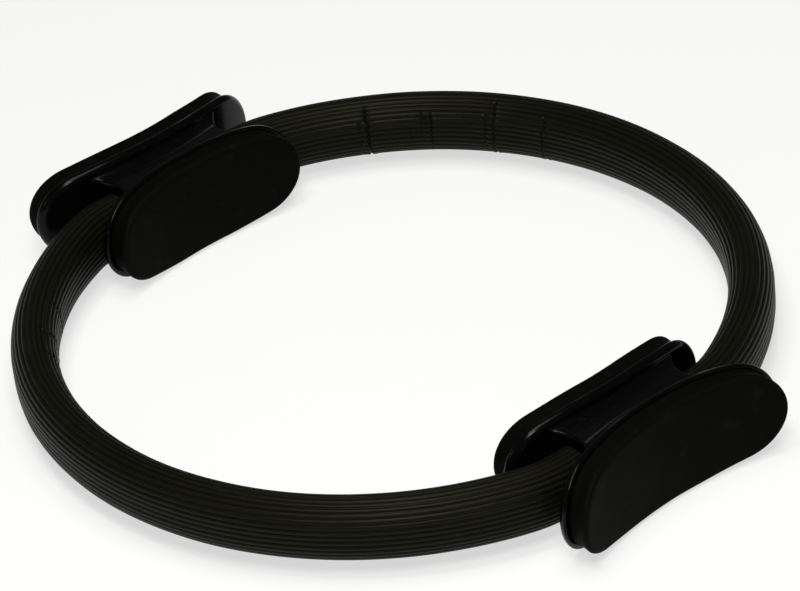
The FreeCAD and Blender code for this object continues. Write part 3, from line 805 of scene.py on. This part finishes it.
def makeShell(end, which):
    bm = bmesh.new()
    lowEdges, highEdges = ovalSlab(bm, handle[which], 0, -handle["flangeThick"], 0)
    roundEdges(bm, lowEdges, handle["throatRound"], handle["throatSteps"])
    roundEdges(bm, [edge for edge in highEdges if edge.is_valid], handle["padRound"], handle["padSteps"])
    sliceThrough(bm, "x", evenPlaces(handle[which]["halfLength"], handle["bendStep"]))
    for vert in bm.verts:
        vert.co.y = bentY(vert.co.x, vert.co.y, which)
    joinMesh(bm, makeWeb(which))

    # screw bosses and the ribs that clamp the spring band
    sign = 1 if which == "outer" else -1
    for x, z in fixings["bossPlaces"]:
        reach = throatGap(x, which) + fixings["root"]
        place = Matrix.Translation((x, hoop["handleRadius"] + sign * reach / 2, z))
        bmesh.ops.create_cone(bm, cap_ends=True, segments=fixings["bossSides"], radius1=fixings["bossRadius"],
                              radius2=fixings["bossRadius"], depth=reach,
                              matrix=place @ Matrix.Rotation(math.pi / 2, 4, "X"))
    for x in fixings["ribPlaces"]:
        reach = throatGap(x, which) + fixings["root"] - fixings["bandHalf"]
        place = Matrix.Translation((x, hoop["handleRadius"] + sign * (fixings["bandHalf"] + reach / 2), 0))
        shape = Matrix.Diagonal((fixings["ribThick"], reach, fixings["ribHeight"], 1))
        bmesh.ops.create_cube(bm, size=1, matrix=place @ shape)
    placeHandle(bm, end)
    name = end + which.capitalize() + "Shell"
    return finishPiece(name, bm, handlePlastic, sharpAngle=50)


for end in ("near", "far"):
    for which in ("outer", "inner"):
        piece = makeShell(end, which)
        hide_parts(end + "_" + which + "_shell")
        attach(piece, end + "_handle")
print("shells made")

# plates, rivets and screws stay as built
for end in ("near", "far"):
    for part in ("splice_plate", "splice_rivets", "shell_screws"):
        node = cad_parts[end + "_" + part]
        node.data.materials.clear()
        node.data.materials.append(zincSteel)
print("fixings finished")

# floor, light and camera
stage = {"floor": 4.0, "tint": (1.0, 1.0, 0.99, 1), "rough": 0.9, "lift": 0.64}


def makeFloor():
    bm = bmesh.new()
    bmesh.ops.create_grid(bm, x_segments=2, y_segments=2, size=stage["floor"])
    mesh = bpy.data.meshes.new("floor")
    bm.to_mesh(mesh)
    bm.free()
    material, tree, shader = newMaterial("paleFloor")
    shader.inputs["Base Color"].default_value = stage["tint"]
    shader.inputs["Roughness"].default_value = stage["rough"]
    shader.inputs["Specular IOR Level"].default_value = 0.0
    path = addNode(tree, "ShaderNodeLightPath")
    through = addMath(tree, "MAXIMUM", path.outputs["Is Glossy Ray"], path.outputs["Is Transmission Ray"])
    seen = addMath(tree, "MAXIMUM", path.outputs["Is Camera Ray"], through)
    white = addNode(tree, "ShaderNodeEmission")
    white.inputs["Strength"].default_value = 1.0
    mix = addNode(tree, "ShaderNodeMixShader")
    tree.links.new(addMath(tree, "MULTIPLY", seen, stage["lift"]), mix.inputs[0])
    tree.links.new(shader.outputs[0], mix.inputs[1])
    tree.links.new(white.outputs[0], mix.inputs[2])
    tree.links.new(mix.outputs[0], tree.nodes["Material Output"].inputs["Surface"])
    mesh.materials.append(material)
    floor = bpy.data.objects.new("floor", mesh)
    scene.collection.objects.link(floor)


studio = {
    "sky": (1.0, 0.97, 0.93, 1),
    "skyStrength": 0.11,
    # place, size across, power and tint of each lamp
    "overhead": ((-0.15, -0.20, 1.80), 1.0, 13, (1, 0.99, 0.96)),
    "topGlint": ((-0.62, -0.22, 1.65), 0.25, 4, (1, 0.99, 0.96)),
    "frontSoft": ((-0.70, -0.89, 1.58), 0.6, 17, (1, 0.99, 0.96)),
    "sideGlint": ((-1.50, 0.50, 0.55), 0.08, 0.5, (1, 1, 1)),
    "backGlint": ((0.83, 1.05, 0.89), 0.05, 0.15, (1, 1, 1)),
}


def addLamp(name):
    place, size, power, tint = studio[name]
    lamp = bpy.data.lights.new(name, "AREA")
    lamp.shape = "DISK"
    lamp.size = size
    lamp.energy = power
    lamp.color = tint
    holder = bpy.data.objects.new(name, lamp)
    holder.location = place
    holder.rotation_euler = (-Vector(place)).to_track_quat("-Z", "Y").to_euler()
    scene.collection.objects.link(holder)


makeFloor()
world = bpy.data.worlds.new("studio")
scene.world = world
world.use_nodes = True
sky = world.node_tree.nodes["Background"]
sky.inputs["Color"].default_value = studio["sky"]
sky.inputs["Strength"].default_value = studio["skyStrength"]
for name in ("overhead", "topGlint", "frontSoft", "sideGlint", "backGlint"):
    addLamp(name)

view = {
    "elevation": 33.774,
    "turn": -38.221,  # of the ring under the camera
    "distance": 2.2191,
    "roll": -6.636,
    "focal": 4479.5,  # in pixels of the photo
    "centre": (391.93, 310.45),  # the ring's middle in the photo
    "picture": (800, 591),
    "sensor": 36,
    "clip": (0.05, 50),
}


def makeCamera():
    tilt, roll = math.radians(view["elevation"]), math.radians(view["roll"])
    back = Vector((0, -math.cos(tilt), math.sin(tilt)))
    right = Vector((1, 0, 0))
    up = back.cross(right)
    right, up = math.cos(roll) * right + math.sin(roll) * up, math.cos(roll) * up - math.sin(roll) * right
    turn = Matrix.Rotation(math.radians(view["turn"]), 3, "Z")
    axes = Matrix((turn @ right, turn @ up, turn @ back)).transposed()
    data = bpy.data.cameras.new("camera")
    wide, high = view["picture"]
    data.sensor_width = view["sensor"]
    data.lens = view["sensor"] * view["focal"] / wide
    data.shift_x = (wide / 2 - view["centre"][0]) / wide
    data.shift_y = (view["centre"][1] - high / 2) / wide
    data.clip_start, data.clip_end = view["clip"]
    camera = bpy.data.objects.new("camera", data)
    place = turn @ back * view["distance"] + Vector((0, 0, hoop["height"]))
    camera.matrix_world = Matrix.Translation(place) @ axes.to_4x4()
    scene.collection.objects.link(camera)
    scene.camera = camera


makeCamera()
print("stage and camera set")
